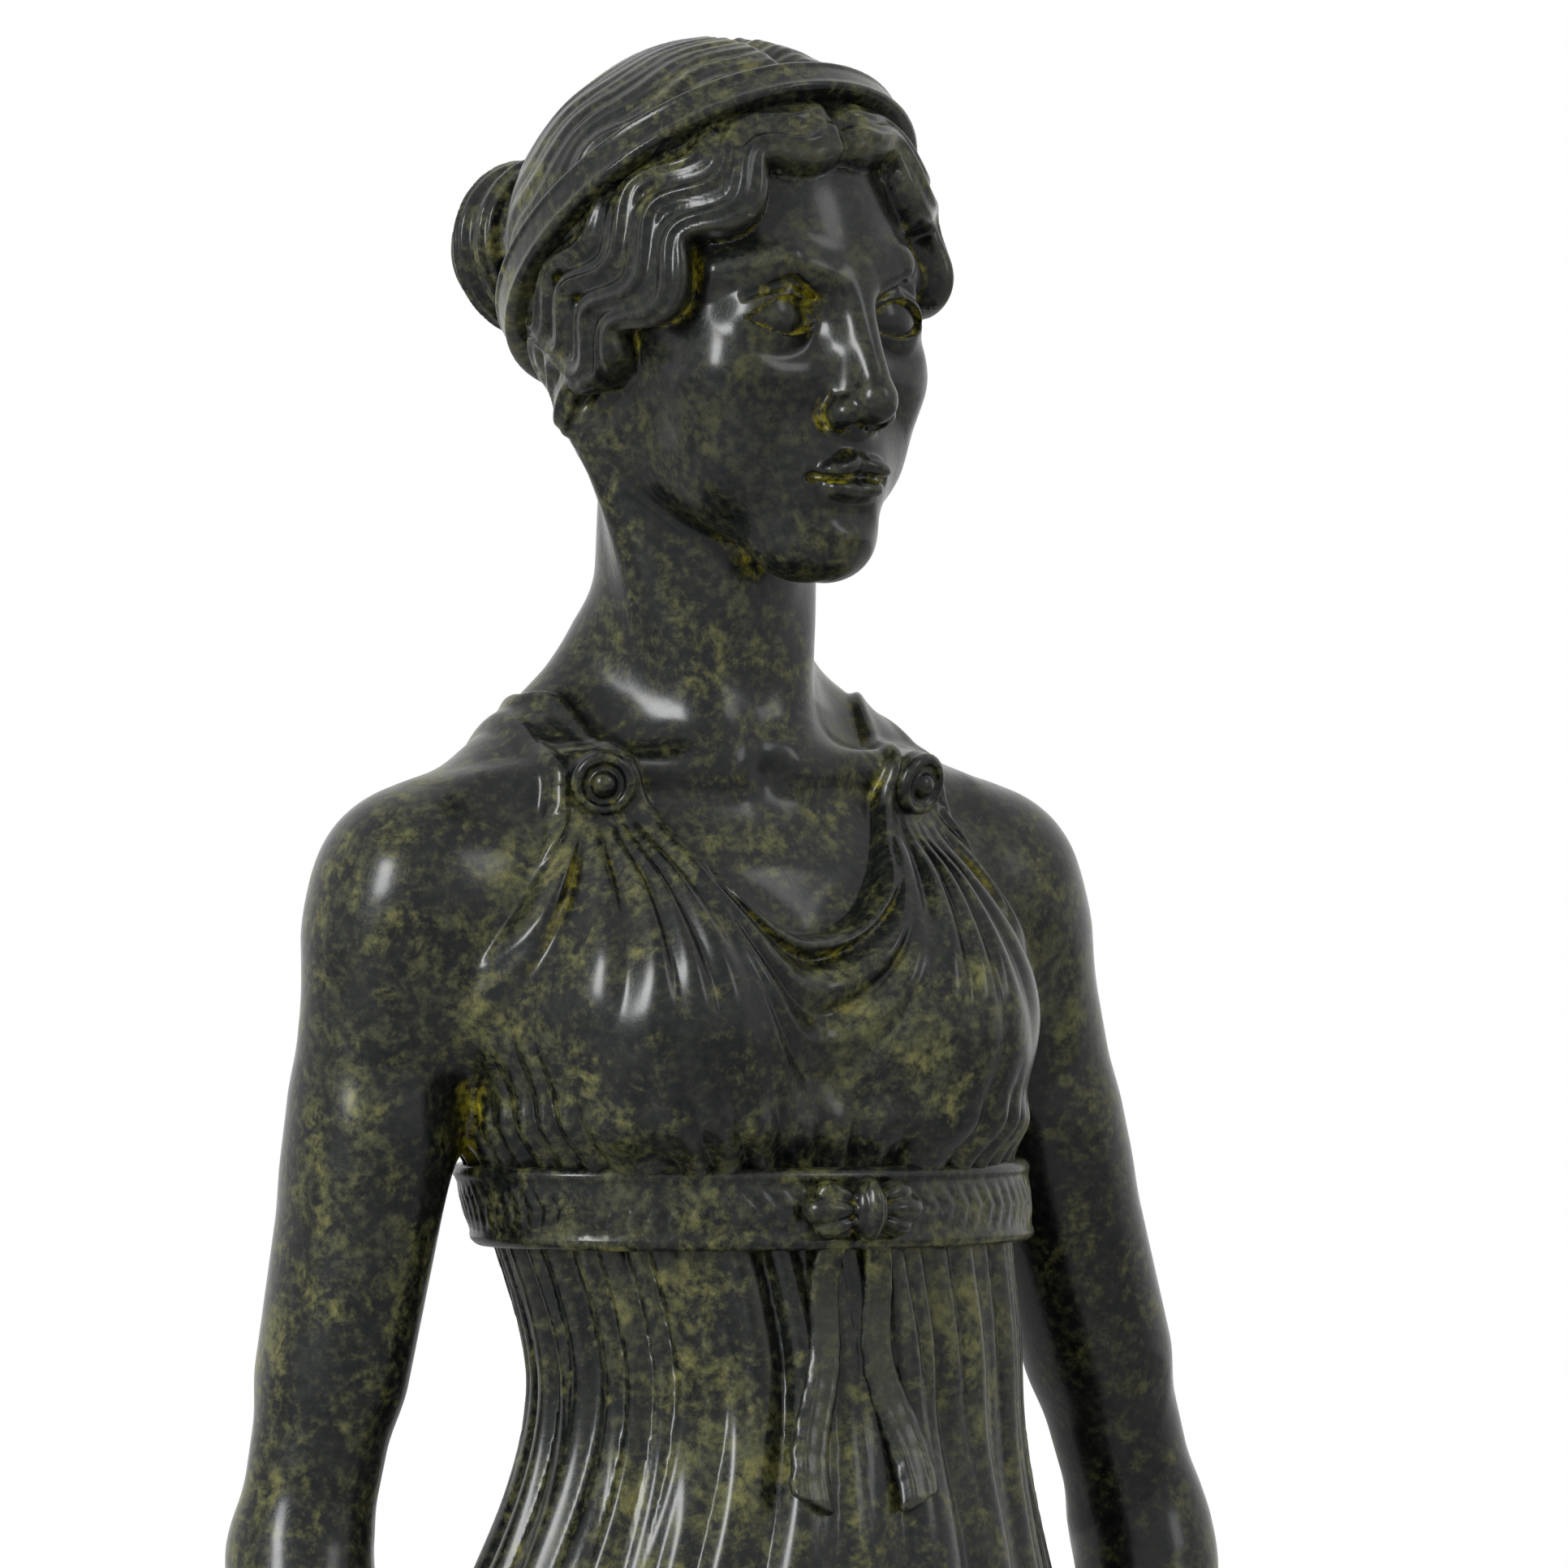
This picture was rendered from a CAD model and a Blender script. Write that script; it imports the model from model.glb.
"""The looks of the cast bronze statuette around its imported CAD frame.

The figure is modelled as one continuous distance field in millimetres, in the CAD part's frame: +Z up,
the figure faces -Y and her left is +X. Each casting is the piece of that field between its seams, so
the surface runs on across the seams as in a chased bronze.
"""

import math
from concurrent.futures import ThreadPoolExecutor

import bmesh
import bpy
import numpy as np
from mathutils import Matrix, Vector


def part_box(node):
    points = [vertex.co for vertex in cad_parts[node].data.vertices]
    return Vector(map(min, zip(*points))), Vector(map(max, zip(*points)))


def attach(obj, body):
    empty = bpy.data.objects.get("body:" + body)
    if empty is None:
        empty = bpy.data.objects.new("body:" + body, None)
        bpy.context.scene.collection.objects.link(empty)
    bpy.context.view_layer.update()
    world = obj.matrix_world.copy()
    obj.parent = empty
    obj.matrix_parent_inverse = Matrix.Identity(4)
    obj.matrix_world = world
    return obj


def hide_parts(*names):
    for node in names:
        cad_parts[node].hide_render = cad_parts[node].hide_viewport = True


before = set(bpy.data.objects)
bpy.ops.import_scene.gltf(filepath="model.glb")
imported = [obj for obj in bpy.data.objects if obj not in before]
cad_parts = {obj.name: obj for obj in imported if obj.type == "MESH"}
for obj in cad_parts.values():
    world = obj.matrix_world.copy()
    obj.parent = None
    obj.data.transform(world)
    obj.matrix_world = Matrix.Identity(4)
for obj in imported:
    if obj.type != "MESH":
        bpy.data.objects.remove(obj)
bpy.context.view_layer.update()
SCENE = bpy.context.scene
MM = 0.001

# Levels of the figure in millimetres, as in the CAD part
HEM = 35.4
KNEE = HEM + 80.0
HIP = KNEE + 85.0
WAIST = HIP + 35.0
GIRDLE = WAIST + 13.5
BUST = GIRDLE + 13.5
CHEST = BUST + 11.0
SHOULDER = CHEST + 6.5
NECK = SHOULDER + 6.0
CHIN = NECK + 10.5

# Level ovals of the body: level, half width, depth in front and behind, middle x and y
SKIRT_OVALS = (
    (HEM, 31.5, 24.5, 23.5, 0.0, 0.0),
    (KNEE, 26.0, 19.0, 18.5, -1.0, 0.0),
    (HIP, 28.0, 16.5, 19.5, -2.5, 1.5),
)
WAIST_OVALS = (
    (WAIST, 19.0, 14.0, 12.8, 0.0, 1.0),
    (GIRDLE, 20.5, 14.2, 13.2, -1.8, 2.0),
    (BUST, 22.2, 14.2, 14.2, -3.5, 3.2),
)
CHEST_OVALS = (
    (CHEST, 24.2, 12.0, 13.2, -4.0, 4.0),
    (SHOULDER, 20.6, 9.2, 10.5, -4.0, 5.0),
    (NECK, 13.0, 7.0, 8.0, -4.0, 5.0),
)
NECK_X = -4.0
NECK_Y = 5.0
TRUNK_MIDDLE = (GIRDLE - 4.0 + NECK - 1.5) / 2
TRUNK_REACH = NECK - 1.5 - TRUNK_MIDDLE

# Her two sides, and the shoulder, elbow and wrist of each arm
SIDES = {"right": -1, "left": 1}
ARMS = {
    "right": ((-28.5, 5.0, 271.4), (-35.8, 9.0, 223.4), (-36.2, -5.0, 182.4)),
    "left": ((20.5, 5.0, 271.4), (37.1, 9.0, 223.4), (31.4, -5.0, 182.4)),
}

# Head: place of its own origin, under the ears at the chin's level, and its turn and nod
HEAD_PLACE = (NECK_X, NECK_Y - 3.5, CHIN)
HEAD_TURN = math.radians(9)
HEAD_NOD = math.radians(3)
FACE_TOP = CHIN + 25.0
HAIR_CENTRE = (0.0, 2.0, 21.0)
KNOT_CENTRE = (0.0, 23.3, 23.5)
KNOT_RADIUS = 6.6
BAND_CENTRE = (0.0, 1.5, 27.0)
BAND_TILT = math.radians(40)

# Girdle knot and clasps
GIRDLE_KNOT = (-1.8, -15.4, GIRDLE)
RIBBON_LENGTH = 22.0
CLASP_RADIUS = 2.4
CLASP_SIDE = 12.6

# Base and plinth: radius or width, levels of underside and top, rounding
BASE = (42.0, 27.1, 35.1, 2.0)
PLINTH = (100.0, 1.8, 26.8, 2.0)

# Mesh steps in millimetres
FACE_STEP = 0.20
HAIR_STEP = 0.26
BODICE_STEP = 0.23
BACK_STEP = 0.28
ARM_STEP = 0.34
WAIST_STEP = 0.36
SKIRT_STEP = 0.71
SMALL_STEP = 0.16

# Pieces run on past a seam, sinking a little under their neighbour, and their boxes reach further
SEAM = 0.9
SINK = 0.07
SEAM_ROOM = 2.0

# Cloth: rounding where it meets skin, and folds or plaits in a turn round the body
CLOTH_FILLET = 0.45
GATHERS = 44
FLUTES = 18
LONG_FOLDS = 24
BACK_FOLDS = 26
PLAITS = 42

# Sampling: threads, points in a chunk, cells along a block, steepest rise of a field and a far value
WORKERS = 4
CHUNK = 20000
BLOCK = 8
STEEPEST = 2.4
HALF_DIAGONAL = 0.87
FAR = 99.0

X, Y, Z = range(3)


# Distance fields. Points are rows of an array, and a negative distance is inside.


def row(values):
    return np.array(values, np.float32)


def length(q):
    return np.sqrt(np.einsum("ij,ij->i", q, q))


def ball(p, centre, radius):
    return length(p - row(centre)) - radius


def egg(p, centre, radii, axes=None):
    """An ellipsoid, with its own axes as the columns of a matrix if it is turned."""
    q = p - row(centre)
    if axes is not None:
        q = q @ axes
    q = q / row(radii)
    near = length(q)
    return near * (near - 1) / np.maximum(length(q / row(radii)), 1e-6)


def bar(p, start, end, radius, end_radius=None):
    """A round bar that may taper."""
    end_radius = radius if end_radius is None else end_radius
    start = row(start)
    along = row(end) - start
    t = np.clip((p - start) @ along / (along @ along), 0, 1)
    return length(p - start - t[:, None] * along) - (radius + (end_radius - radius) * t)


def chain(p, points, radii, soft=0.0):
    """Bars from point to point."""
    found = None
    for a, b, ra, rb in zip(points, points[1:], radii, radii[1:]):
        d = bar(p, a, b, ra, rb)
        found = d if found is None else melt(found, d, soft)
    return found


def melt(a, b, soft):
    """Union of two fields with a rounded valley."""
    if soft <= 0:
        return np.minimum(a, b)
    h = np.clip(0.5 + 0.5 * (b - a) / soft, 0, 1)
    return b + (a - b) * h - soft * h * (1 - h)


def carve(a, b, soft):
    """The field a with b taken away, with a rounded edge."""
    return -melt(-a, b, soft)


def common(a, b, soft):
    return -melt(-a, -b, soft)


def ease(low, high, value):
    """0 up to low, 1 from high on, and smooth between."""
    t = np.clip((value - low) / (high - low), 0, 1)
    return t * t * (3 - 2 * t)


def hump(away, width):
    return np.exp(-((away / width) ** 2))


def pleat(turn, soft=0.02):
    """A wave with round ridges and narrow valleys, which are wider if soft."""
    return 2 * np.sqrt(np.cos(turn / 2) ** 2 + soft) - 1.2


def mirrored(p):
    """The points folded onto one side of the head's middle plane."""
    q = p.copy()
    q[:, 0] = np.abs(q[:, 0])
    return q


def turned(about_y, about_z):
    """Axes for egg, from turns in degrees."""
    matrix = Matrix.Rotation(math.radians(about_z), 3, "Z") @ Matrix.Rotation(math.radians(about_y), 3, "Y")
    return np.array(matrix, np.float32)


def unit(vectors):
    return vectors / np.linalg.norm(vectors, axis=-1, keepdims=True)


def grid(*counts):
    """Whole-numbered places in a box, as rows."""
    return np.stack(np.meshgrid(*[np.arange(n) for n in counts], indexing="ij"), -1).reshape(-1, len(counts))


# Level ovals


def smooth_column(levels, values, at):
    """A smooth curve through values at levels that doesn't overshoot them."""
    levels, values = np.array(levels), np.array(values)
    steps = np.diff(values) / np.diff(levels)
    slopes = np.zeros(len(levels))
    both = steps[:-1] * steps[1:] > 0
    slopes[1:-1][both] = 2 * (steps[:-1] * steps[1:])[both] / (steps[:-1] + steps[1:])[both]
    i = np.clip(np.searchsorted(levels, at) - 1, 0, len(levels) - 2)
    span = levels[i + 1] - levels[i]
    t = np.clip((at - levels[i]) / span, 0, 1)
    return (
        (2 * t**3 - 3 * t**2 + 1) * values[i]
        + (t**3 - 2 * t**2 + t) * span * slopes[i]
        + (3 * t**2 - 2 * t**3) * values[i + 1]
        + (t**3 - t**2) * span * slopes[i + 1]
    )


class Ovals:
    """The level ovals as a table, read at any level."""

    def __init__(self, sections):
        levels = np.linspace(sections[0][0], sections[-1][0], 1200)
        columns = list(zip(*sections))
        table = [smooth_column(columns[0], c, levels) for c in columns[1:]]
        table.append(np.sqrt(1 + np.gradient(table[0], levels) ** 2))
        self.table = np.array(table, np.float32).T
        self.low = sections[0][0]
        self.step = (sections[-1][0] - sections[0][0]) / (len(levels) - 1)

    def at(self, p):
        """Points from the middle of their ovals, the ovals' half width and depth there, and steepness."""
        place = np.clip((p[:, 2] - self.low) / self.step, 0, len(self.table) - 1.001)
        cell = place.astype(np.int32)
        t = (place - cell).astype(np.float32)[:, None]
        half, front, back, x, y, steep = (self.table[cell] * (1 - t) + self.table[cell + 1] * t).T
        x, y = p[:, 0] - x, p[:, 1] - y
        return x, y, half, np.where(y < 0, front, back), steep

    def field(self, p):
        """About the distance to the skin over the ovals."""
        x, y, half, depth, steep = self.at(p)
        near = np.sqrt((x / half) ** 2 + (y / depth) ** 2)
        slope = np.sqrt((x / half**2) ** 2 + (y / depth**2) ** 2)
        return near * (near - 1) / np.maximum(slope, 1e-6) / steep

    def bearing(self, p):
        """Angle round the body. 0 is her left and -90 degrees her front."""
        x, y, half, depth, _ = self.at(p)
        return np.arctan2(y / depth, x / half)


GOWN = Ovals(SKIRT_OVALS + WAIST_OVALS)
TORSO = Ovals(WAIST_OVALS + CHEST_OVALS)


# Head and face


HEAD_AXES = np.array(
    Matrix.Rotation(HEAD_TURN, 3, "Z") @ Matrix.Rotation(HEAD_NOD, 3, "X"), np.float32
)


def to_head(p):
    return (p - row(HEAD_PLACE)) @ HEAD_AXES


def from_head(q):
    return np.array(q, np.float32) @ HEAD_AXES.T + row(HEAD_PLACE)


# Features are worked out within this reach of the skull, in front of a depth and below a level
FEATURE_REACH = 6.0
FEATURE_DEPTH = -5.0
FEATURE_LEVEL = 26.0
# Chin, cheek bone, cheek and mouth: centre, radii, and how softly they melt in
FACE_EGGS = (
    ((0, -11.0, 2.8), (4.0, 4.3, 3.5), 3.0),
    ((6.3, -8.6, 14.2), (4.2, 4.1, 4.2), 3.0),
    ((5.0, -7.4, 8.6), (4.2, 4.6, 4.4), 3.0),
    ((0, -10.4, 7.8), (5.2, 4.9, 4.8), 2.6),
)
EYE = (5.2, -9.85, 18.5)
EYE_HALF_WIDTH = 3.15
EYE_RADIUS = 3.28
LID_RADIUS = 3.85
UPPER_LID = 1.75
LOWER_LID = 1.15


# In these, a are points in the head's axes folded onto one side


def skull(a):
    """Cranium, jaw, chin and cheeks."""
    d = melt(egg(a, (0, 2.0, 23.5), (12.4, 15.8, 13.8)), egg(a, (0, -3.6, 16.0), (10.4, 11.0, 12.4)), 4.0)
    d = melt(d, bar(a, (2.2, -9.8, 2.5), (7.6, 1.2, 9.6), 2.3, 2.6), 3.4)
    for centre, radii, soft in FACE_EGGS:
        d = melt(d, egg(a, centre, radii), soft)
    return d


def brows_and_nose(d, a):
    d = carve(d, egg(a, (5.5, -14.9, 18.6), (4.6, 2.8, 3.0)), 1.8)
    brow = chain(a, ((1.4, -13.4, 21.3), (5.2, -13.0, 22.9), (9.3, -9.6, 21.8)), (0.9, 0.85, 0.7), 0.5)
    d = melt(d, brow, 2.0)
    d = melt(d, bar(a, (0, -12.6, 21.2), (0, -14.4, 12.8), 1.35, 2.2), 1.8)
    d = melt(d, bar(a, (0, -13.5, 21.6), (0, -17.1, 13.3), 1.05, 1.35), 1.3)
    d = melt(d, egg(a, (0, -17.0, 12.5), (1.55, 1.7, 1.5)), 1.0)
    d = melt(d, egg(a, (1.75, -15.2, 11.8), (1.1, 1.7, 1.15)), 0.7)
    d = carve(d, egg(a, (0.95, -16.1, 10.8), (0.55, 1.0, 0.55)), 0.3)
    wing = chain(a, ((2.6, -14.6, 13.0), (3.0, -14.2, 11.8), (2.5, -14.3, 10.8)), (0.08, 0.16, 0.08))
    return carve(d, wing, 0.6)


def mouth(d, a):
    upper = egg(a, (1.05, -14.75, 7.95), (2.15, 1.4, 0.85), turned(12, -16))
    lower = egg(a, (0.55, -14.6, 6.05), (2.1, 1.45, 1.0), turned(-8, -12))
    d = melt(d, melt(upper, lower, 0.2), 0.55)
    line = chain(a, ((0, -16.35, 7.1), (1.5, -15.9, 6.95), (3.1, -14.1, 7.05)), (0.22, 0.2, 0.14))
    d = carve(d, line, 0.3)
    d = carve(d, ball(a, (3.4, -14.1, 7.0), 0.28), 0.6)
    d = carve(d, egg(a, (0, -16.2, 4.3), (2.5, 1.4, 0.8)), 1.3)
    return carve(d, bar(a, (0, -16.35, 10.2), (0, -16.45, 9.0), 0.35, 0.5), 0.6)


def eyes(d, a):
    """Blank almond eyes between two lids."""
    across = (a[:, 0] - EYE[0]) / EYE_HALF_WIDTH
    arch = 1 - np.minimum(across * across, 1.4)
    above = a[:, 2] - (EYE[2] + 0.05 + UPPER_LID * arch)
    below = EYE[2] - LOWER_LID * arch - a[:, 2]
    lids = common(ball(a, EYE, LID_RADIUS), -np.maximum(above, below), 0.15)
    d = melt(d, lids, 0.7)
    d = np.minimum(d, ball(a, EYE, EYE_RADIUS))
    fold = chain(a, ((2.5, -12.9, 20.2), (5.2, -13.5, 21.4), (8.4, -11.7, 20.1)), (0.16, 0.30, 0.16))
    return carve(d, fold, 0.5)


def face(q):
    """The skull, with features worked out only near the front of it."""
    a = mirrored(q)
    d = skull(a)
    near = (np.abs(d) < FEATURE_REACH) & (a[:, 1] < FEATURE_DEPTH) & (a[:, 2] < FEATURE_LEVEL)
    if near.any():
        a = a[near]
        d[near] = eyes(mouth(brows_and_nose(d[near], a), a), a)
    return d


# Hair: locks drawn on a map of directions from the middle of the head


MAP_SIZE = 1200
MAP_REACH = 1.92
MAP_POLE = row((0.0, 0.5, 0.866))
MAP_EAST = row((1.0, 0.0, 0.0))
MAP_NORTH = np.cross(MAP_POLE, MAP_EAST).astype(np.float32)
HAIR_RADIUS = 16.0
LOCK_ALONG = 1600
LOCK_ACROSS = 130
STRANDS = 3.0
WAVE_LENGTH = 8.2


def to_map(directions):
    """Directions laid out flat round the pole, keeping areas."""
    up = np.clip(directions @ MAP_POLE, -1, 1)
    scale = np.sqrt(2 / np.maximum(1 + up, 1e-3))
    flat = np.stack([directions @ MAP_EAST, directions @ MAP_NORTH], 1) * scale[:, None]
    return (flat / MAP_REACH + 1) * (MAP_SIZE - 1) / 2


def spline(points, count):
    """A smooth curve through points, as many places along it."""
    points = np.array(points, float)
    padded = np.vstack([2 * points[0] - points[1], points, 2 * points[-1] - points[-2]])
    place = np.linspace(0, len(points) - 1, count)
    i = np.minimum(place.astype(int), len(points) - 2)
    t = (place - i)[:, None]
    a, b, c, d = (padded[i + k] for k in range(4))
    return 0.5 * (2 * b + (c - a) * t + (2 * a - 5 * b + 4 * c - d) * t**2 + (3 * b - a - 3 * c + d) * t**3)


# Courses of the hair on her left side, from the parting to the knot at the back
FRONT_COURSE = (
    (0.15, -11.6, 32.6),
    (7.0, -10.6, 29.4),
    (11.0, -6.4, 22.0),
    (13.2, 0.0, 14.0),
    (11.6, 8.6, 11.4),
    (5.0, 17.0, 17.0),
)
CROWN_COURSE = (
    (0.15, 3.5, 38.2),
    (4.8, 5.0, 37.4),
    (8.6, 8.0, 34.6),
    (10.0, 12.0, 30.5),
    (8.0, 16.0, 27.0),
    (3.4, 19.0, 24.5),
)
BACK_COURSE = (
    (0.15, 5.0, 38.2),
    (0.5, 9.0, 37.6),
    (0.7, 13.0, 35.0),
    (0.7, 16.5, 31.6),
    (0.5, 18.6, 28.6),
    (0.3, 19.6, 26.5),
)
NAPE_FRONT = ((12.2, -0.5, 10.6), (11.2, 5.0, 9.0), (8.0, 12.0, 11.0), (4.6, 17.0, 16.0))
NAPE_BACK = ((1.2, 11.5, 3.6), (1.4, 13.5, 7.0), (1.2, 16.0, 11.5), (0.8, 18.0, 16.0))


def courses(first, last, count, start=0):
    """Courses evenly between two, as (share, points)."""
    first, last = np.array(first), np.array(last)
    for i in range(start, count):
        share = i / (count - 1)
        yield share, first + (last - first) * share


def draw_lock(height, path, half_width, thickness, bulge, phase, rise):
    """One lock on the map: a rounded band with fine strands along it."""
    outward = unit(path - np.array(HAIR_CENTRE))
    side = np.cross(outward, unit(np.gradient(outward, axis=0)))
    across = np.linspace(-1, 1, LOCK_ACROSS)
    along = np.linspace(0, 1, len(path))[:, None]
    away = (half_width / HAIR_RADIUS)[:, None] * across
    directions = unit(outward[:, None, :] + side[:, None, :] * away[..., None])
    spots = np.round(to_map(directions.reshape(-1, 3).astype(np.float32))).astype(int)
    spots = np.clip(spots, 0, MAP_SIZE - 1)
    inside = 1 - across**2
    strands = np.cos(math.pi * STRANDS * across + phase + 1.2 * np.sin(9 * along + phase))
    lock = thickness[:, None] + bulge[:, None] * (inside**0.6 + 0.07 * strands * inside)
    lock *= ease(0.0, 0.30, inside) * ease(-rise, rise, along) * ease(-0.04, 0.04, 1 - along)
    np.maximum.at(height, (spots[:, 0], spots[:, 1]), lock.ravel().astype(np.float32))


def band_distance(q):
    """Distance from the plane of the hair band, positive behind it."""
    away = q - row(BAND_CENTRE)
    return math.sin(BAND_TILT) * away[:, 1] + math.cos(BAND_TILT) * away[:, 2]


def waved(points, sign, wave, shift):
    """A waved course, where it is behind the band, and the turn of its wave."""
    path = spline(points, LOCK_ALONG)
    path[:, 0] *= sign
    run = np.concatenate([[0], np.cumsum(np.linalg.norm(np.diff(path, axis=0), axis=1))])
    lateral = unit(np.cross(np.gradient(path, axis=0), path - np.array(HAIR_CENTRE)))
    behind = ease(-1.0, 2.0, band_distance(path))
    turn = 2 * math.pi * run / WAVE_LENGTH + shift
    swing = wave * np.sin(turn) * ease(0, 6, run) * (1 - 0.65 * behind)
    return path + lateral * (swing * sign)[:, None], behind, turn


# Ways to blend a pixel of the map with its neighbours: the first two fill small gaps, the third softens


def widest(before, here, after):
    return np.maximum(np.maximum(before, here), after)


def narrowest(before, here, after):
    return np.minimum(np.minimum(before, here), after)


def blurred(before, here, after):
    return (before + 2 * here + after) / 4


def hair_map():
    """Locks in three groups: courses, half width, thickness, bulge, wave and rise."""
    height = np.zeros((MAP_SIZE, MAP_SIZE), np.float32)
    groups = (
        (courses(FRONT_COURSE, CROWN_COURSE, 9), 2.15, 0.95, 1.75, 1.05, 0.05),
        (courses(CROWN_COURSE, BACK_COURSE, 7, 1), 1.5, 1.3, 0.9, 0.5, 0.05),
        (courses(NAPE_FRONT, NAPE_BACK, 6), 1.9, 0.9, 0.9, 0.4, 0.5),
    )
    for number, (group, half_width, thickness, bulge, wave, rise) in enumerate(groups):
        for share, points in group:
            for sign in (1, -1):
                path, behind, turn = waved(points, sign, wave, 2.2 * share + 0.6 * sign)
                widths = half_width * (0.82 + 0.18 * np.sin(turn + 1.0))
                phase = 1.7 * number + 5.0 * share + sign
                smooth = 1 - 0.55 * behind
                thick = thickness + 0.5 * bulge * (1 - smooth)
                draw_lock(height, path, widths, thick, bulge * smooth, phase, rise)
    for blend in (widest, narrowest, blurred):
        for axis in (0, 1, 0, 1):
            height = blend(np.roll(height, 1, axis), height, np.roll(height, -1, axis))
    return height


HAIR = hair_map()


def hair_height(q):
    """How far the hair stands off the skull."""
    away = q - row(HAIR_CENTRE)
    away = away / np.maximum(length(away), 1e-4)[:, None]
    grown = ease(-0.62, -0.45, away[:, 1] * 0.55 + away[:, 2] * 0.83)
    grown = grown * np.maximum(ease(6.0, 2.0, q[:, 1]), ease(5.0, 12.5, q[:, 2]))
    spot = np.clip(to_map(away), 0, MAP_SIZE - 1.001)
    i, j = spot.astype(int).T
    s, t = (spot % 1).T
    low = HAIR[i, j] * (1 - s) + HAIR[i + 1, j] * s
    high = HAIR[i, j + 1] * (1 - s) + HAIR[i + 1, j + 1] * s
    return grown * (low * (1 - t) + high * t)


# Neck, torso and gown


def neck_field(p):
    """The neck with its two front muscles."""
    d = bar(p, (NECK_X, NECK_Y + 0.4, NECK - 8), from_head((0, 3.2, 13)), 8.6, 7.6)
    for side in (-1, 1):
        mastoid = from_head((side * 9.0, 3.5, 8.5))
        d = melt(d, bar(p, mastoid, (NECK_X + side * 2.0, -2.4, SHOULDER + 1.6), 1.9, 1.2), 2.6)
    return d


def head_field(p):
    """Head, hair and neck."""
    q = to_head(p)
    d = melt(face(q), neck_field(p), 2.0)
    haired = q[:, 2] > -4.0
    pinch = 1 - 0.35 * hump(band_distance(q[haired]), 2.4)
    d[haired] -= hair_height(q[haired]) * pinch
    return d


def trunk(p):
    """Rib cage, shoulder slopes and collar bones, without bust and arms."""
    d = common(TORSO.field(p), np.abs(p[:, 2] - TRUNK_MIDDLE) - TRUNK_REACH, 4.0)
    x = NECK_X
    for side in (-1, 1):
        slope_start = (x + side * 5.5, 8.5, NECK + 3)
        d = melt(d, bar(p, slope_start, (x + side * 19, 6.0, SHOULDER - 4.4), 4.0, 4.4), 4.5)
        bones = ((x + side * 2.4, -3.3, 281.0), (x + side * 11, -2.7, 281.4), (x + side * 20, 2.0, 279.0))
        d = melt(d, chain(p, bones, (0.9, 1.0, 1.2)), 2.2)
        d = melt(d, bar(p, (x + side * 20.5, 0.5, 264), (x + side * 11, -6.0, 270), 3.4, 3.0), 4.0)
        d = melt(d, egg(p, (x + side * 11.5, 13.0, 268), (6.5, 4.5, 9.0)), 4.5)
    d = carve(d, ball(p, (x, -5.4, 280.9), 1.7), 2.2)
    return carve(d, bar(p, (x, 18.6, 275), (x + 1.5, 17.0, 240), 1.3), 4.5)


def with_bust(p, d, soft):
    for side in (-1, 1):
        d = melt(d, egg(p, (-3.5 + side * 10.0, -6.8, BUST - 0.2), (9.3, 9.3, 9.4)), soft)
    return d


def arm_field(p, name):
    shoulder, elbow, wrist = (np.array(v) for v in ARMS[name])
    side = np.array((SIDES[name], 0, 0))
    forward = np.array((0, -1, 0))
    upper, fore = elbow - shoulder, wrist - elbow
    muscles = (
        (0.08, 0.40, side * 1.0, 6.0, 4.2),
        (0.36, 0.72, forward * 1.8, 4.5, 4.1),
        (0.32, 0.72, forward * -2.0, 4.6, 3.8),
    )
    d = bar(p, shoulder, elbow, 6.2, 4.8)
    d = melt(d, egg(p, shoulder + side * 0.3, (7.0, 7.9, 8.4)), 3.0)
    for start, end, aside, thick, thin in muscles:
        top, bottom = (shoulder + upper * share + aside for share in (start, end))
        d = melt(d, bar(p, top, bottom, thick, thin), 3.0)
    d = melt(d, bar(p, elbow, wrist, 4.6, 3.2), 2.6)
    d = melt(d, bar(p, elbow + fore * 0.10 + side * 0.9, elbow + fore * 0.40, 4.7, 4.1), 3.0)
    d = melt(d, ball(p, elbow - forward * 1.5, 3.8), 2.0)
    near_hand = p[:, 2] < wrist[2] + 16
    if near_hand.any():
        d[near_hand] = melt(d[near_hand], hand_field(p[near_hand], wrist, side), 2.4)
    return d


def hand_field(p, wrist, side):
    """Palm, four fingers and a thumb, hanging with the palm towards the gown."""
    down = np.array((0, -0.10, -1)) / math.hypot(1, 0.1)
    forward = np.array((0, -1, 0.10)) / math.hypot(1, 0.1)
    inward = -side
    axes = np.array((inward, forward, down), np.float32).T
    d = egg(p, wrist + down * 7.8, (3.0, 5.5, 8.8), axes)
    d = melt(d, bar(p, wrist - down * 4.0, wrist + down * 8.0, 3.15, 2.1), 3.0)
    for index, share in enumerate((0.90, 1.0, 0.95, 0.78)):
        root = wrist + down * 13.0 + forward * 2.75 * (1.5 - index)
        reach = 13.2 * share
        bends = ((-5.0, 0), (0, 0), (reach * 0.38, 0.2), (reach * 0.70, 0.9), (reach * 0.98, 1.9))
        joints = [root + down * along + inward * aside for along, aside in bends]
        d = melt(d, chain(p, joints, (1.3, 1.65, 1.45, 1.32, 1.05), 0.2), 0.7)
    base = wrist + down * 4.0 + forward * 3.6 + inward * 0.6
    middle = base + down * 5.4 + forward * 3.2 + inward * 1.0
    tip = middle + down * 6.2 + forward * 1.3 + inward * 0.9
    return melt(d, chain(p, (base, middle, tip), (2.2, 1.7, 1.1), 0.4), 0.9)


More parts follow.
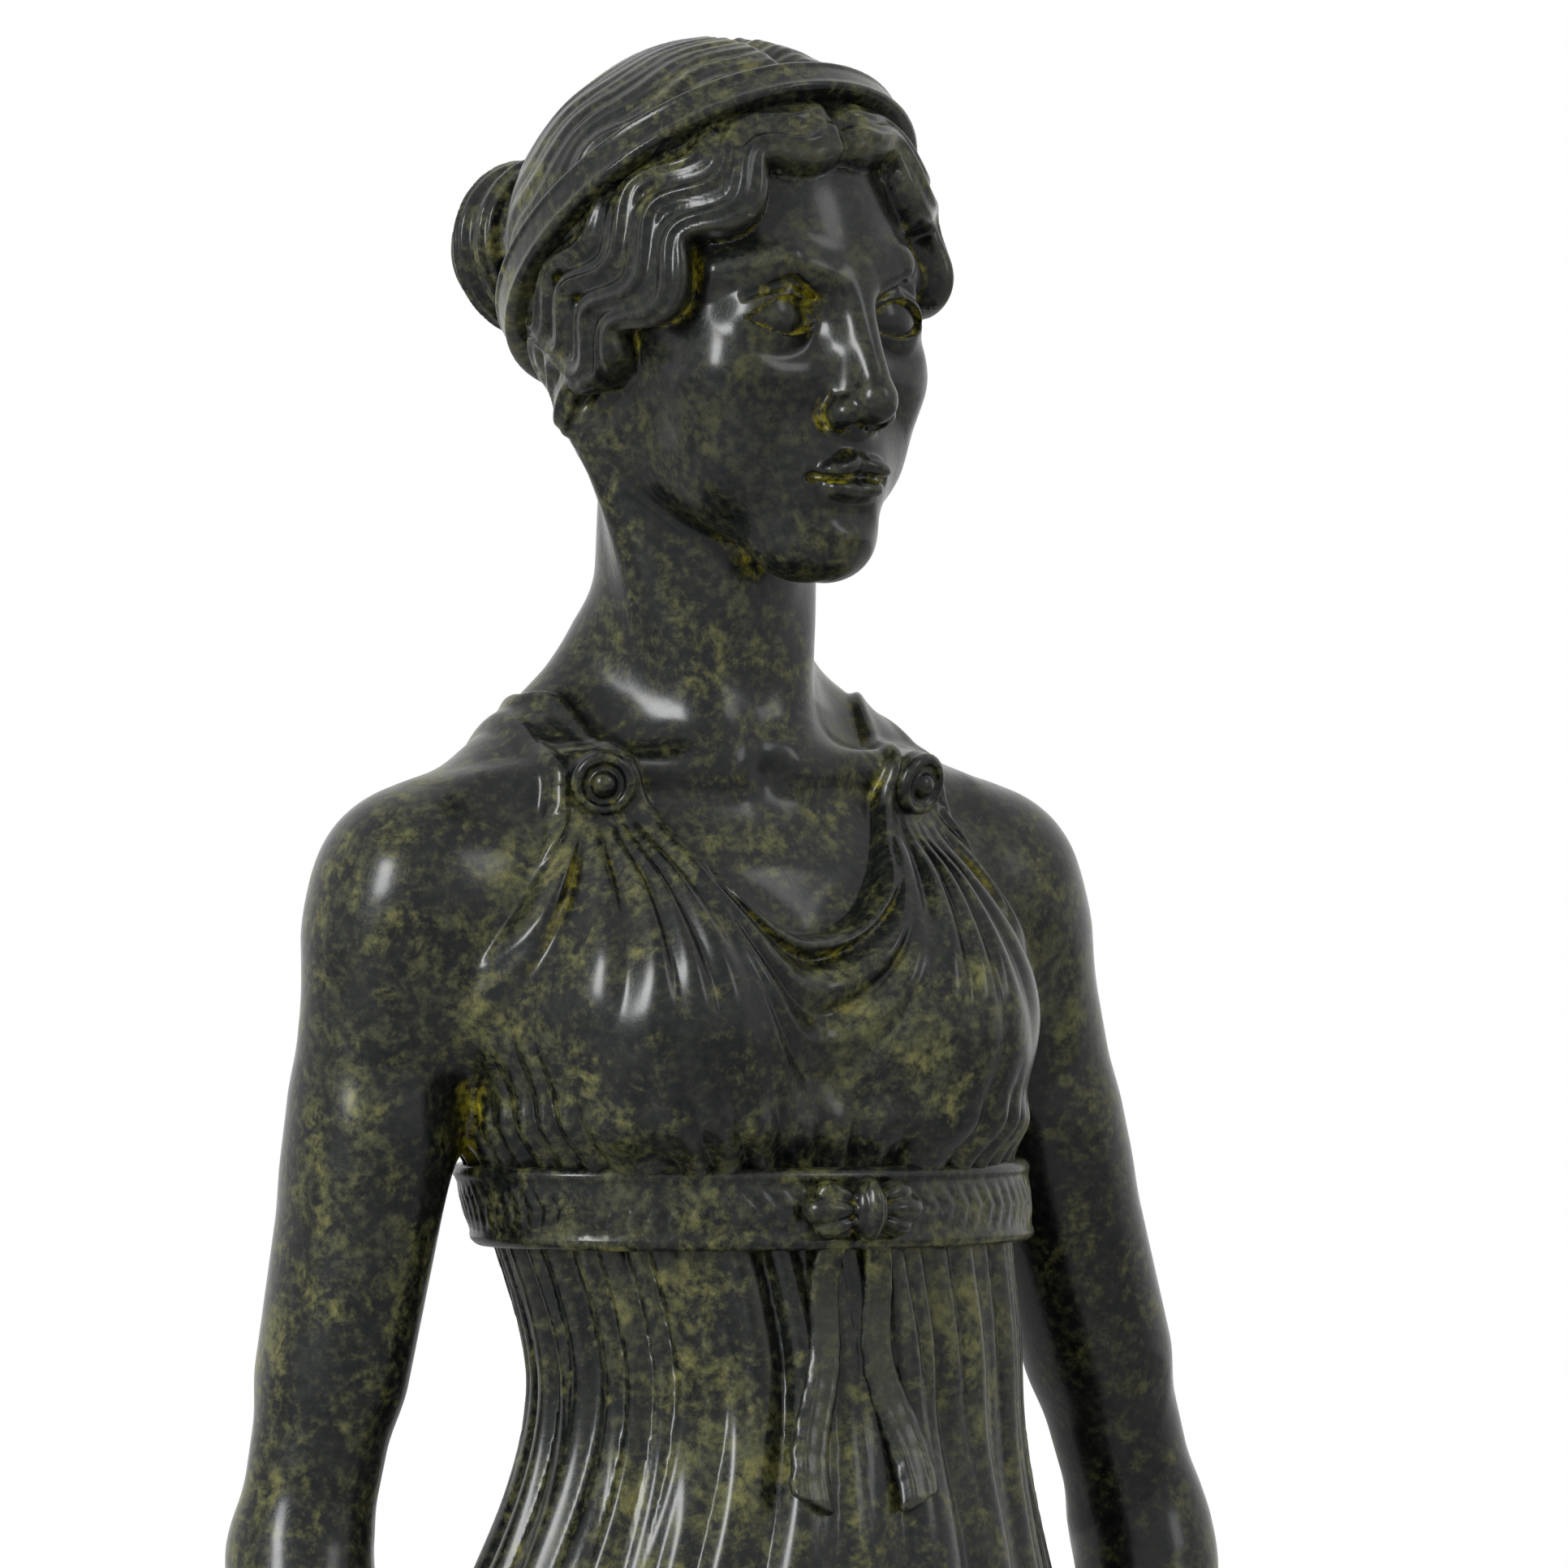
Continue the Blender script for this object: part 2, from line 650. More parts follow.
def bodice_folds(p):
    """Relief of the bodice: folds between the clasps, rays from them and gathers below."""
    x = p[:, 0] - NECK_X
    drop = SHOULDER + 2 - p[:, 2]
    above_girdle = p[:, 2] - GIRDLE
    in_front = ease(9, 1, p[:, 1])
    span = np.clip(1 - (x / CLASP_SIDE) ** 2, 0.1, 1)
    sag = drop / span
    spacing = 2.5 + 0.07 * sag
    crowding = np.hypot(1, 2 * x * sag / CLASP_SIDE**2) / span / spacing
    hang = pleat(2 * math.pi * (sag - 13.0) / spacing + 0.5 * np.sin(0.5 * x), 0.05)
    hang = hang * ease(30, 15, sag) * ease(10.0, 13.0, sag) * ease(1.0, 0.5, crowding)
    fan = np.arctan2(np.abs(x) - CLASP_SIDE, drop)
    from_clasp = np.hypot(np.abs(x) - CLASP_SIDE, drop)
    rays = pleat(2 * math.pi * fan / 0.19 + 1.0 + 0.8 * np.sin(9 * fan), 0.06) * ease(4, 9, from_clasp)
    rays = rays * ease(26, 12, drop) * ease(6.0, 10.0, np.abs(x)) * ease(1.1, 0.7, fan)
    bearing = TORSO.bearing(p)
    gather = pleat(GATHERS * bearing + 1.6 * np.sin(7 * bearing) + 0.9 * np.sin(13 * bearing + 1))
    gather = gather * ease(12 + 3 * np.sin(9 * bearing), 3, above_girdle)
    behind = pleat(BACK_FOLDS * bearing + 1.2 * np.sin(5 * bearing)) * (1 - in_front) * ease(2, 20, drop)
    blouse = 0.8 * hump(above_girdle - 5.8, 2.0)
    return in_front * (0.50 * hang + 0.36 * rays) + 0.40 * gather + 0.25 * behind + blouse


def cloth_edge(p):
    """How far a point is above the bodice's neckline or beyond its armholes."""
    x = np.abs(p[:, 0] - NECK_X)
    z = p[:, 2]
    in_front = ease(7, 3, p[:, 1])
    depth = 13.6 * in_front + 5.5 * (1 - in_front)
    neck_side = CLASP_SIDE - 1.6
    neckline = SHOULDER + 2.6 - depth * (1 - (x / neck_side) ** 2.4)
    steep = depth * 2.4 * x**1.4 / neck_side**2.4
    above = (z - neckline) / np.sqrt(1 + steep**2)
    below_strap = np.maximum(SHOULDER + 1 - z, 0)
    armhole = CLASP_SIDE + 4.4 + 0.050 * below_strap**1.9
    beyond = (x - armhole) / np.sqrt(1 + (0.1 * below_strap**0.9) ** 2)
    return np.maximum(above, beyond)


def bodice_field(p, body):
    """The cloth as a solid of its own over the body, with a rolled edge."""
    edge = cloth_edge(p)
    over_shoulder = ease(SHOULDER - 1, SHOULDER + 4, p[:, 2])
    thickness = 0.75 - 0.35 * over_shoulder
    roll = (0.35 - 0.17 * over_shoulder) * hump(edge + 0.75, 0.6)
    return common(body - thickness - bodice_folds(p) - roll, edge, 0.8)


def body_parts(p):
    """Skin and cloth of torso and arms, and a field that is negative on the torso's side of the seams."""
    plain = trunk(p)
    skin = with_bust(p, plain, 4.0)
    arms = np.full(len(p), FAR, np.float32)
    for name, side in SIDES.items():
        near = (p[:, 0] - NECK_X) * side > 11
        if near.any():
            arms[near] = arm_field(p[near], name)
    over_arms = arms + 8 * ease(SHOULDER - 3, SHOULDER - 11, p[:, 2])
    cloth = bodice_field(p, melt(with_bust(p, plain, 6.0), over_arms, 4.5))
    return melt(skin, arms, 4.5), cloth, skin - arms


def figure_parts(p):
    """The figure above the girdle, and the field of the arm seams from body_parts."""
    skin = np.full(len(p), FAR, np.float32)
    cloth = skin.copy()
    owner = -skin
    low = p[:, 2] < CHIN + 4
    if low.any():
        skin[low], cloth[low], owner[low] = body_parts(p[low])
    high = p[:, 2] > NECK - 14
    if high.any():
        skin[high] = melt(skin[high], head_field(p[high]), 4.0)
    return melt(skin, cloth, CLOTH_FILLET), owner


def figure(p):
    return figure_parts(p)[0]


def gown_folds(p):
    """Relief of the gown: flutes, gathers under the girdle and the free knee."""
    bearing = GOWN.bearing(p)
    z = p[:, 2]
    top = GIRDLE - 6.2
    fall = np.clip((top - z) / (top - HEM), 0, 1)
    wave = FLUTES * bearing + 0.9 * np.sin(2 * bearing)
    off_knee = (bearing - math.radians(-62) + math.pi) % (2 * math.pi) - math.pi
    knee = np.exp(-((off_knee / 0.42) ** 2) - ((z - KNEE) / 38) ** 2)
    depth = 3.3 * fall**0.7 * (1 + 0.22 * np.sin(3 * bearing + 1))
    main = depth * (0.42 + 0.5 * pleat(wave)) * (1 - 0.75 * knee) + 4.0 * knee
    second = 0.40 * fall * np.cos(2 * wave + 1.5 * np.sin(3 * bearing) + 0.02 * z) * (1 - 0.8 * knee)
    drift = 1.3 * np.sin(5 * bearing) + 0.8 * np.sin(11 * bearing + 2)
    drift = drift + 0.010 * (GIRDLE - z) * np.sin(3 * bearing)
    gather = pleat(GATHERS * bearing + drift) * ease(-30 + 6 * np.sin(8 * bearing), -5, z - GIRDLE)
    long_folds = pleat(LONG_FOLDS * bearing + 1.4 * np.sin(4 * bearing + 1)) * ease(HIP - 40, WAIST, z)
    return main + second + 0.34 * gather + 0.42 * long_folds


def gown_field(p):
    d = melt(GOWN.field(p), egg(p, (-1.0, -6.5, 219), (12.0, 9.0, 13.0)), 6.0)
    return d - 0.35 - gown_folds(p)


# Small pieces


def band_field(p):
    """The hair band, a flat ribbon with two raised edges."""
    q = to_head(p)
    across = band_distance(q)
    relief = 0.16 * hump(np.abs(across) - 1.15, 0.3)
    return common(np.abs(skull(mirrored(q)) - 1.75) - 1.6 - relief, np.abs(across) - 1.6, 0.5)


def hair_knot_field(p):
    """The knot of hair behind the band: one thick lock wound up in a coil."""
    q = (to_head(p) - row(KNOT_CENTRE)) / row((1.08, 0.92, 1.0))
    away = np.maximum(length(q), 1e-3)
    round_axis = np.arctan2(q[:, 2], q[:, 0])
    from_axis = np.arccos(np.clip(q[:, 1] / away, -1, 1)) * KNOT_RADIUS
    turn = 2 * math.pi * from_axis / 3.4 - round_axis
    strands = np.cos(4 * turn + 0.6 * np.sin(3 * round_axis))
    return away - KNOT_RADIUS - 0.55 * pleat(turn) - 0.09 * strands


def girdle_field(p):
    """A band round the body with raised edges and a plaited middle."""
    height = p[:, 2] - GIRDLE
    bearing = TORSO.bearing(p)
    edges = 0.22 * hump(np.abs(height) - 2.4, 0.42)
    middle = np.exp(-((height / 1.5) ** 4))
    plait = 0.18 * np.abs(np.cos(PLAITS * bearing + 1.1 * np.abs(height))) * middle
    return common(np.abs(TORSO.field(p) - 1.15) - 0.95 - edges - plait, np.abs(height) - 3.05, 0.5)


def ribbon_path(side):
    """Points of one hanging end of the girdle, over the front of the gown."""
    drops = np.linspace(0, RIBBON_LENGTH, 12)
    aside = side * (1.0 + 3.4 * drops / RIBBON_LENGTH + 0.5 * np.sin(drops * 0.42))
    depths = np.linspace(-26, -5, 240, dtype=np.float32)
    line = np.zeros((len(depths), 3), np.float32)
    line[:, 1] = depths
    fronts = []
    for drop, away in zip(drops, aside):
        line[:, 0] = GIRDLE_KNOT[0] + away
        line[:, 2] = GIRDLE - drop
        solid = np.minimum(gown_field(line), girdle_field(line)) < 0
        fronts.append(depths[np.argmax(solid)])
    smooth = np.polyval(np.polyfit(drops, fronts, 3), drops) - 0.3
    return np.stack([GIRDLE_KNOT[0] + aside, smooth, GIRDLE - drops], 1).astype(np.float32)


def girdle_knot_field():
    """A wrap between two gathered sides, and two hanging ends cut at a slant."""
    flatten = 2.3
    squash = row((1.0, flatten, 1.0))
    ribbons = [(side, ribbon_path(side)) for side in (-1, 1)]
    centre = row(GIRDLE_KNOT)

    def field(p):
        q = p - centre
        a = mirrored(q)
        creases = 0.22 * pleat(14 * np.arctan2(a[:, 2], a[:, 0] + 0.8))
        d = egg(a, (2.6, 0.3, 0.0), (2.2, 1.5, 2.0)) - creases
        wrap = egg(q, (0, -0.4, 0), (1.3, 1.9, 2.4)) - 0.12 * pleat(4.5 * q[:, 0])
        d = melt(d, wrap, 0.25)
        for side, points in ribbons:
            widths = np.linspace(0.9, 1.7, len(points))
            hanging = chain(p * squash, points * squash, widths, 0.3) / flatten**0.5
            middle = np.interp(p[:, 2], points[::-1, 2], points[::-1, 0])
            away = p[:, 0] - middle
            hanging -= 0.14 * hump(np.abs(away) - 0.9, 0.25)
            slant = points[-1, 2] + 0.4 + 0.5 * side * away - p[:, 2]
            d = melt(d, common(hanging, slant, 0.2), 0.3)
        return d

    return field


def clasp_field(side):
    """A round clasp with a rim and a boss, set on the cloth over the shoulder."""
    spot = row(((NECK_X + side * (CLASP_SIDE + 0.5), -3.0, SHOULDER + 0.5),))
    _, outward = slope(trunk, spot, 0.5)
    outward /= length(outward)[:, None]
    for _ in range(4):
        spot = spot - outward * figure(spot)[:, None]
    outward = Vector(outward[0].tolist())
    axes = np.array(outward.to_track_quat("Z", "Y").to_matrix(), np.float32)

    def field(p):
        q = (p - spot) @ axes
        across = np.hypot(q[:, 0], q[:, 1])
        height = q[:, 2]
        d = common(across - CLASP_RADIUS, np.abs(height) - 0.7, 0.3)
        d = melt(d, np.hypot(across - CLASP_RADIUS + 0.45, height - 0.65) - 0.42, 0.25)
        return melt(d, ball(q, (0, 0, 0.55), 1.0), 0.25)

    return field, spot[0]


def foot_field(side):
    """A bare foot under the hem, with five toes."""
    turn = math.radians(10) * side
    forward = np.array((math.sin(turn), -math.cos(turn), 0))
    outward = np.array((math.cos(turn), math.sin(turn), 0)) * side
    up = np.array((0, 0, 1))
    heel = np.array((side * 9.6, -9.0, HEM))

    def field(p):
        d = bar(p, heel + up * 4.2, heel + forward * 16 + up * 2.4, 4.2, 3.2)
        d = melt(d, egg(p, heel + forward * 15.5 + up * 2.2, (5.0, 5.0, 2.8)), 2.5)
        for toe in range(5):
            root = heel + forward * (17.5 - 0.5 * toe) + outward * (2.0 * toe - 3.9) + up * 1.9
            tip = root + forward * (5.6 - 0.75 * toe) - up * 0.5
            size = 1.75 if toe == 0 else 1.3 - 0.05 * toe
            d = melt(d, bar(p, root, tip, size + 0.15, size), 0.35)
        return np.maximum(d, HEM - p[:, 2])

    return field


# From field to mesh


def evaluate(field, points):
    """The field at many points, in chunks side by side."""
    chunks = [points[i : i + CHUNK] for i in range(0, len(points), CHUNK)]
    with ThreadPoolExecutor(WORKERS) as pool:
        return np.concatenate(list(pool.map(field, chunks)))


def sample(field, low, high, step):
    """The field on a grid, worked out only near the surface, in ever smaller blocks."""
    low = np.array(low, np.float32)
    count = np.ceil((np.array(high) - low) / step / BLOCK).astype(int)
    corners = grid(*count) * BLOCK
    values = np.full(count * BLOCK, FAR, np.float32)
    size = BLOCK
    while size > 1:
        middle = evaluate(field, (low + (corners + size / 2) * step).astype(np.float32))
        near = np.abs(middle) < (size + 1) * step * HALF_DIAGONAL * STEEPEST
        solid = corners[~near & (middle < 0)]
        for shift in grid(size, size, size):
            values[tuple((solid + shift).T)] = -FAR
        size //= 2
        corners = (corners[near][:, None, :] + grid(2, 2, 2) * size).reshape(-1, 3)
    values[tuple(corners.T)] = evaluate(field, (low + corners * step).astype(np.float32))
    return low, values


def net(low, values, step):
    """A quad mesh with one vertex in every cell that the surface passes."""
    inside = values < 0
    n = np.array(values.shape) - 1
    shifts = grid(2, 2, 2)
    total = sum(inside[i : i + n[0], j : j + n[1], k : k + n[2]].astype(np.int8) for i, j, k in shifts)
    active = (total > 0) & (total < 8)
    cells = np.argwhere(active)
    number = np.full(active.shape, -1, np.int64)
    number[active] = np.arange(len(cells))
    place = np.zeros((len(cells), 3))
    crossings = np.zeros(len(cells))
    for start in shifts:
        for axis in np.flatnonzero(start == 0):
            end = start.copy()
            end[axis] = 1
            a, b = (values[tuple((cells + corner).T)] for corner in (start, end))
            crossed = (a < 0) != (b < 0)
            spot = np.tile(start.astype(float), (len(cells), 1))
            spot[:, axis] = np.where(crossed, a / np.where(crossed, a - b, 1), 0)
            place[crossed] += spot[crossed]
            crossings += crossed
    points = low + (cells + place / crossings[:, None]) * step
    quads = []
    for axis in range(3):
        others = [(axis + 1) % 3, (axis + 2) % 3]
        first, second = [slice(1, -1)] * 3, [slice(1, -1)] * 3
        first[axis], second[axis] = slice(0, -1), slice(1, None)
        a, b = inside[tuple(first)], inside[tuple(second)]
        for crossing, order in ((a & ~b, 1), (~a & b, -1)):
            edges = np.argwhere(crossing)
            ring = []
            for shift in ((0, 0), (1, 0), (1, 1), (0, 1)):
                cell = edges.copy()
                cell[:, others] += shift
                ring.append(number[tuple(cell.T)])
            quads.append(np.stack(ring[::order], 1))
    return points.astype(np.float32), np.concatenate(quads)


def largest_part(points, quads):
    """The mesh without crumbs that hang on nothing."""
    label = np.arange(len(points))
    before = None
    while before is None or (label != before).any():
        before = label
        label = label.copy()
        np.minimum.at(label, quads.ravel(), np.repeat(label[quads].min(1), 4))
        label = label[label]
    of_quad = label[quads[:, 0]]
    quads = quads[of_quad == np.bincount(of_quad).argmax()]
    used, places = np.unique(quads, return_inverse=True)
    return points[used], places.reshape(quads.shape)


CORNERS = row(((1, -1, -1), (-1, -1, 1), (-1, 1, -1), (1, 1, 1)))


def slope(field, points, reach):
    """Value and gradient of the field."""
    values = [evaluate(field, points + c * reach) for c in CORNERS]
    gradient = sum(v[:, None] * c for v, c in zip(values, CORNERS)) / (4 * reach)
    return sum(values) / 4, gradient


def settle(field, points, step):
    """Points moved onto the surface."""
    value, gradient = slope(field, points, 0.2 * step)
    move = (value / np.maximum(np.einsum("ij,ij->i", gradient, gradient), 0.05))[:, None] * gradient
    far = np.maximum(length(move), 1e-9)
    return points - move * np.minimum(1, 0.5 * step / far)[:, None]


# Heights over the skin at which a hollow is felt for, and their weights
HOLLOW_REACHES = ((0.35, 0.35), (1.1, 0.4), (3.0, 0.35))


def hollowness(field, points, normals):
    """0 on open convex skin and up to 1 in narrow hollows."""
    total = np.zeros(len(points), np.float32)
    for reach, weight in HOLLOW_REACHES:
        open_to = evaluate(field, points + normals * reach)
        total += weight * np.clip(1 - open_to / reach, -0.6, 1.2)
    return total


def spread(values, quads):
    """Values at the vertices averaged with their neighbours'."""
    for _ in range(2):
        of_quad = values[quads].mean(1)
        total = np.bincount(quads.ravel(), np.repeat(of_quad, 4), len(values))
        values = total / np.maximum(np.bincount(quads.ravel(), minlength=len(values)), 1)
    return values.astype(np.float32)


def cast(name, node, field, low, high, step, whole=None):
    """A bronze piece from a field. The whole field, without the piece's cuts, gives its shading."""
    whole = whole or field
    corner, values = sample(field, low, high, step)
    points, quads = largest_part(*net(corner, values, step))
    points = settle(field, points, step)
    _, gradient = slope(whole, points, 0.25 * step)
    normals = gradient / np.maximum(length(gradient), 1e-6)[:, None]
    on_skin = np.abs(evaluate(whole, points)) < 0.4 * step
    mesh = bpy.data.meshes.new(name)
    mesh.from_pydata((points * MM).tolist(), [], quads.tolist())
    mesh.update()
    mesh.shade_smooth()
    flat = np.empty(len(points) * 3, np.float32)
    mesh.vertices.foreach_get("normal", flat)
    normals[~on_skin] = flat.reshape(-1, 3)[~on_skin]
    mesh.normals_split_custom_set_from_vertices(normals.tolist())
    cavity = mesh.attributes.new("cavity", "FLOAT", "POINT")
    cavity.data.foreach_set("value", spread(hollowness(whole, points, normals), quads))
    return dress(bpy.data.objects.new(name, mesh), node, BRONZE)


def dress(piece, node, material):
    """Puts a piece into the scene in place of its CAD node."""
    SCENE.collection.objects.link(piece)
    piece.data.materials.clear()
    piece.data.materials.append(material)
    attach(piece, "root")
    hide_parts(node)
    return piece


def seam(d, beyond):
    """The field to where beyond is 0, running on a little under the neighbour's skin."""
    return np.maximum(d + SINK * ease(0, SEAM, beyond), beyond - SEAM)


# Materials


# Middle of the face, which handling keeps darker
HANDLED_POINT = (-0.006, -0.012, 0.311)

# Colours of the patina and of the wood
DEEP_BLACK = (0.0016, 0.0022, 0.0028)
DEEP_GREY = (0.0110, 0.0130, 0.0095)
SOFT_BLACK = (0.0058, 0.0068, 0.0062)
SOFT_GREY = (0.0160, 0.0176, 0.0134)
DULL_OLIVE = (0.066, 0.071, 0.036)
CLEAR_OLIVE = (0.158, 0.154, 0.050)
WORN_BROWN = (0.070, 0.070, 0.046)
HOLLOW_BLACK = (0.0022, 0.0028, 0.0028)
YELLOW = (0.340, 0.300, 0.018)
DARK_WOOD = (0.018, 0.009, 0.005)
LIGHT_WOOD = (0.070, 0.034, 0.017)
WOOD_PORES = (0.012, 0.007, 0.004)


class Nodes:
    """Short names for adding shader nodes."""

    def __init__(self, owner):
        self.tree = owner.node_tree
        self.tree.nodes.clear()

    def add(self, kind, sockets=None, **settings):
        """A node with settings, and with constants on its sockets."""
        node = self.tree.nodes.new(kind)
        for key, value in settings.items():
            setattr(node, key, value)
        for key, value in (sockets or {}).items():
            node.inputs[key].default_value = value
        return node

    def link(self, out, into):
        self.tree.links.new(out, into)

    def noise(self, vector, scale, detail, roughness, distortion=0.0):
        sockets = {"Scale": scale, "Detail": detail, "Roughness": roughness, "Distortion": distortion}
        node = self.add("ShaderNodeTexNoise", sockets)
        self.link(vector, node.inputs["Vector"])
        return node.outputs["Fac"]

    def span(self, value, low, high, out_low=0.0, out_high=1.0):
        sockets = {"From Min": low, "From Max": high, "To Min": out_low, "To Max": out_high}
        node = self.add("ShaderNodeMapRange", sockets, interpolation_type="SMOOTHSTEP")
        self.link(value, node.inputs["Value"])
        return node.outputs["Result"]

    def math(self, operation, first, second):
        node = self.add("ShaderNodeMath", operation=operation)
        for index, value in enumerate((first, second)):
            if isinstance(value, (int, float)):
                node.inputs[index].default_value = value
            else:
                self.link(value, node.inputs[index])
        return node.outputs[0]

    def weighted(self, *pairs):
        """The sum of values times their weights."""
        total = None
        for value, weight in pairs:
            part = self.math("MULTIPLY", value, weight)
            total = self.math("ADD", total, part) if total else part
        return total

    def mix(self, share, first, second):
        node = self.add("ShaderNodeMix", data_type="RGBA")
        self.link(share, node.inputs[0])
        for index, colour in ((6, first), (7, second)):
            if isinstance(colour, tuple):
                node.inputs[index].default_value = (*colour, 1.0)
            else:
                self.link(colour, node.inputs[index])
        return node.outputs[2]


def new_material(name):
    material = bpy.data.materials.new(name)
    material.use_nodes = True
    nodes = Nodes(material)
    shader = nodes.add("ShaderNodeBsdfPrincipled")
    output = nodes.add("ShaderNodeOutputMaterial")
    nodes.link(shader.outputs[0], output.inputs[0])
    coordinate = nodes.add("ShaderNodeTexCoord").outputs["Object"]
    return material, nodes, shader, coordinate


def bumped(nodes, shader, height, distance, strength):
    bump = nodes.add("ShaderNodeBump", {"Distance": distance, "Strength": strength})
    nodes.link(height, bump.inputs["Height"])
    nodes.link(bump.outputs[0], shader.inputs["Normal"])


def bronze_material():
    """Dark green-black patina with olive mottling, and yellow-green left in the hollows."""
    material, nodes, shader, where = new_material("patinated_bronze")
    hollow = nodes.add("ShaderNodeAttribute", attribute_name="cavity").outputs["Fac"]
    broad = nodes.noise(where, 70, 4, 0.6, 0.3)
    tone = nodes.noise(where, 210, 5, 0.68, 0.4)
    cloud = nodes.noise(where, 420, 7, 0.76, 0.5)
    speck = nodes.noise(where, 1250, 4, 0.62)
    grain = nodes.noise(where, 3600, 3, 0.6)

    strong = nodes.span(tone, 0.38, 0.62)
    deep = nodes.mix(nodes.span(speck, 0.36, 0.66), DEEP_BLACK, DEEP_GREY)
    soft = nodes.mix(nodes.span(speck, 0.36, 0.66), SOFT_BLACK, SOFT_GREY)
    dark = nodes.mix(strong, soft, deep)
    patches = nodes.weighted((cloud, 0.62), (speck, 0.38), (nodes.math("SUBTRACT", broad, 0.5), 0.45))
    from_face = nodes.add("ShaderNodeVectorMath", {1: HANDLED_POINT}, operation="DISTANCE")
    nodes.link(where, from_face.inputs[0])
    handled = nodes.span(from_face.outputs["Value"], 0.010, 0.021, 0.34, 1.0)
    olive = nodes.math("MULTIPLY", nodes.span(patches, 0.45, 0.72), handled)
    base = nodes.mix(olive, dark, nodes.mix(strong, DULL_OLIVE, CLEAR_OLIVE))
    worn = nodes.span(hollow, -0.08, -0.36)
    base = nodes.mix(nodes.math("MULTIPLY", worn, 0.30), base, WORN_BROWN)
    base = nodes.mix(nodes.span(hollow, 0.10, 0.45, 0.0, 0.65), base, HOLLOW_BLACK)
    pits = nodes.math("ADD", hollow, nodes.math("MULTIPLY", nodes.math("SUBTRACT", patches, 0.5), 1.2))
    settled = nodes.math("MULTIPLY", nodes.span(pits, 0.40, 1.05), nodes.span(speck, 0.32, 0.66))
    base = nodes.mix(nodes.math("MULTIPLY", settled, 0.9), base, YELLOW)
    nodes.link(base, shader.inputs["Base Color"])

    gloss = nodes.span(cloud, 0.32, 0.70, 0.24, 0.38)
    gloss = nodes.math("ADD", gloss, nodes.span(olive, 0.0, 1.0, 0.0, 0.10))
    gloss = nodes.math("SUBTRACT", gloss, nodes.math("MULTIPLY", worn, 0.08))
    nodes.link(gloss, shader.inputs["Roughness"])
    shader.inputs["Specular IOR Level"].default_value = 0.09
    shader.inputs["Specular Tint"].default_value = (0.90, 0.96, 1.0, 1.0)
    shader.inputs["Coat Weight"].default_value = 0.40
    shader.inputs["Coat Roughness"].default_value = 0.20
    bumped(nodes, shader, nodes.weighted((speck, 0.6), (grain, 0.4)), 0.00020, 0.36)
    return material


def wood_material():
    """Dark stained wood with its grain along X."""
    material, nodes, shader, where = new_material("dark_stained_wood")
    stretch = nodes.add("ShaderNodeMapping", {"Scale": (0.08, 1.0, 1.0)})
    nodes.link(where, stretch.inputs["Vector"])
    rings = nodes.noise(stretch.outputs[0], 420, 4, 0.6, 1.5)
    fibre = nodes.noise(stretch.outputs[0], 2600, 3, 0.6)
    base = nodes.mix(nodes.span(rings, 0.36, 0.66), DARK_WOOD, LIGHT_WOOD)
    base = nodes.mix(nodes.span(fibre, 0.5, 0.75), base, WOOD_PORES)
    nodes.link(base, shader.inputs["Base Color"])
    nodes.link(nodes.span(fibre, 0.3, 0.7, 0.32, 0.48), shader.inputs["Roughness"])
    bumped(nodes, shader, fibre, 0.0002, 0.35)
    return material


def plain_material(name, low, high, metallic, roughness, scale, relief):
    """A colour that varies a little, with fine relief."""
    material, nodes, shader, where = new_material(name)
    cloud = nodes.noise(where, scale, 4, 0.6)
    nodes.link(nodes.mix(nodes.span(cloud, 0.3, 0.7), low, high), shader.inputs["Base Color"])
    nodes.link(nodes.span(cloud, 0.3, 0.7, roughness - 0.06, roughness + 0.06), shader.inputs["Roughness"])
    shader.inputs["Metallic"].default_value = metallic
    bumped(nodes, shader, nodes.noise(where, scale * 4, 3, 0.6), relief, 0.4)
    return material


BRONZE = bronze_material()
WOOD = wood_material()
FELT = plain_material("green_felt", (0.012, 0.036, 0.020), (0.026, 0.066, 0.038), 0.0, 0.9, 900, 0.0004)
BRASS = plain_material("plain_brass", (0.36, 0.27, 0.10), (0.47, 0.36, 0.16), 1.0, 0.36, 700, 0.0001)
STEEL = plain_material("zinc_plated_steel", (0.48, 0.49, 0.50), (0.60, 0.61, 0.62), 1.0, 0.34, 700, 0.0001)


# Pieces of the figure


def cut(field, box, *seams):
    """A field between seams, and its box. A seam is an axis, a place and the side cut off."""
    low, high = (list(corner) for corner in box)
    for axis, place, side in seams:
        if side > 0:
            high[axis] = place + SEAM_ROOM
        else:
            low[axis] = place - SEAM_ROOM

    def piece(p):
        d = field(p)
        for axis, place, side in seams:
            d = seam(d, side * (p[:, axis] - place))
        return d

    return piece, low, high


def make_head():
    """Face, fringe and the hair behind them are three meshes of one casting."""
    box = (-24, -20, NECK), (17, 30, 341)
    neck, front, back = (Z, NECK, -1), (Y, 0, 1), (Y, 0, -1)
    pieces = (
        ("face", FACE_STEP, (neck, front, (Z, FACE_TOP, 1))),
        ("fringe", FACE_STEP, (front, (Z, FACE_TOP, -1))),
        ("hair", HAIR_STEP, (neck, back)),
    )
    for name, step, seams in pieces:
        cast(name, "head_casting", *cut(figure, box, *seams), step, figure)


